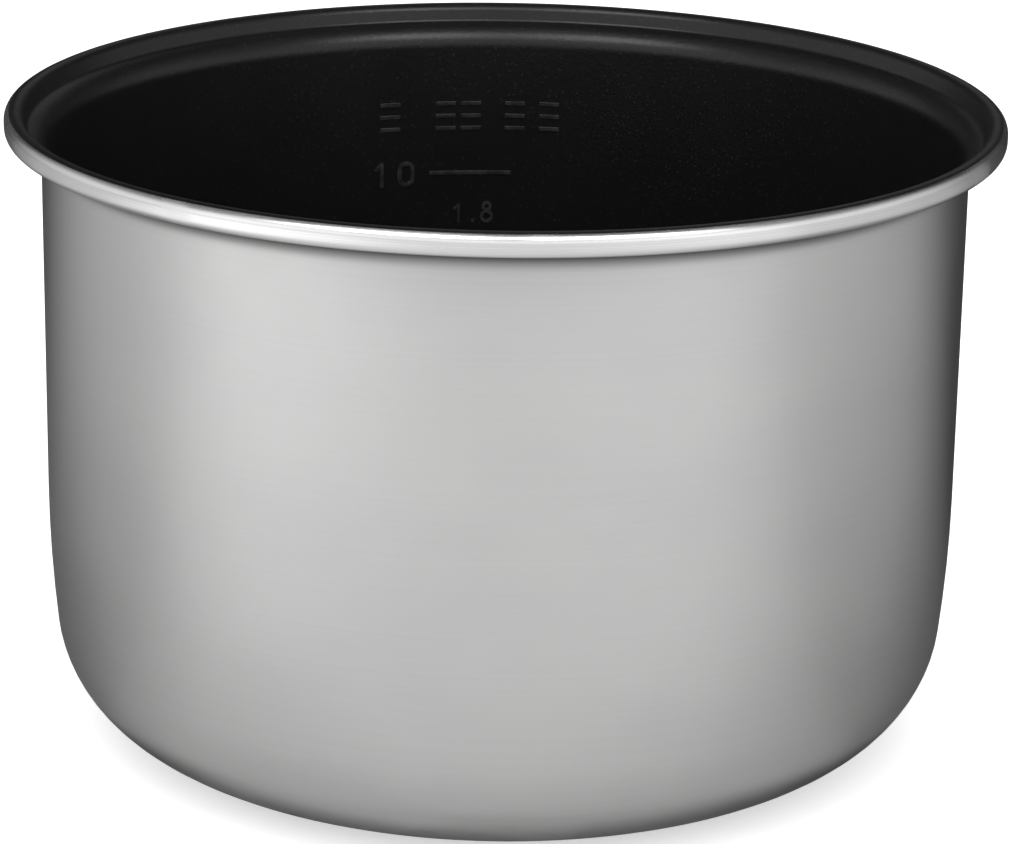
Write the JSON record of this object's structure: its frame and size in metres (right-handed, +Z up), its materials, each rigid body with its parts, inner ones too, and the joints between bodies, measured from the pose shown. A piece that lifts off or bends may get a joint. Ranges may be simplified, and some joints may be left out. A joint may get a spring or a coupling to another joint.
{
  "type": "rice cooker inner pot",
  "caption": "Removable inner pot of an electric rice cooker: a drawn aluminium pan with a black non-stick lining, a curled rim to lift it by and a raised level scale inside.",
  "frame": {"origin": "centre of the flat base, on the surface that the pot stands on", "axes": "+Z up along the pot's axis, +Y towards the wall that carries the level scale, +X to the right when looking at the scale from inside"},
  "size_m": [0.24, 0.24, 0.155],
  "materials": {
    "bare_aluminium": "satin",
    "nonstick_black": "satin"
  },
  "bodies": {
    "root": {"pot_shell": "bare_aluminium", "nonstick_lining": "nonstick_black", "level_lines": "nonstick_black", "level_numerals": "nonstick_black", "scale_heading": "nonstick_black"}
  },
  "joints": []
}
